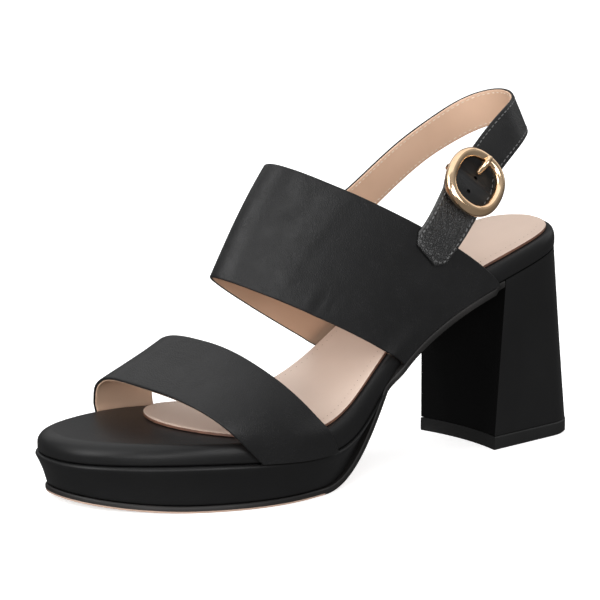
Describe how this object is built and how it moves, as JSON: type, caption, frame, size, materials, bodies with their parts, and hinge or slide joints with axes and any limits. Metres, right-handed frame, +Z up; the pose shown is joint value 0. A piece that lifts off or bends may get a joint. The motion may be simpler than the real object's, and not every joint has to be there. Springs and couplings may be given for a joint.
{
  "type": "block heel sandal",
  "caption": "Left block heel platform sandal with a wide toe strap, a wide instep strap and a buckled sling strap round the heel.",
  "frame": {"origin": "on the floor under the heel: a point of the top lift's flat underside, straight below the back of the footbed", "axes": "+X along the shoe from heel to toe, +Y to the outer (lateral) side, +Z up from the floor"},
  "size_m": [0.2461, 0.0891, 0.1467],
  "materials": {
    "outsole": "satin painted edge, beige tread",
    "platform": "smooth satin leather",
    "footbed": "smooth satin leather",
    "insole": "matte nude sock leather",
    "heel": "smooth satin leather",
    "top_lift": "matte",
    "toe_strap": "smooth satin leather, nude lining",
    "upper": "smooth satin leather, nude lining",
    "buckle_frame": "polished pale gold plate",
    "prong": "polished pale gold plate"
  },
  "bodies": {
    "root": {"outsole": "outsole", "platform": "platform", "footbed": "footbed", "insole": "insole", "heel": "heel", "top_lift": "top_lift", "toe_strap": "toe_strap", "upper": "upper", "buckle_frame": "buckle_frame", "prong": "prong"}
  },
  "joints": []
}
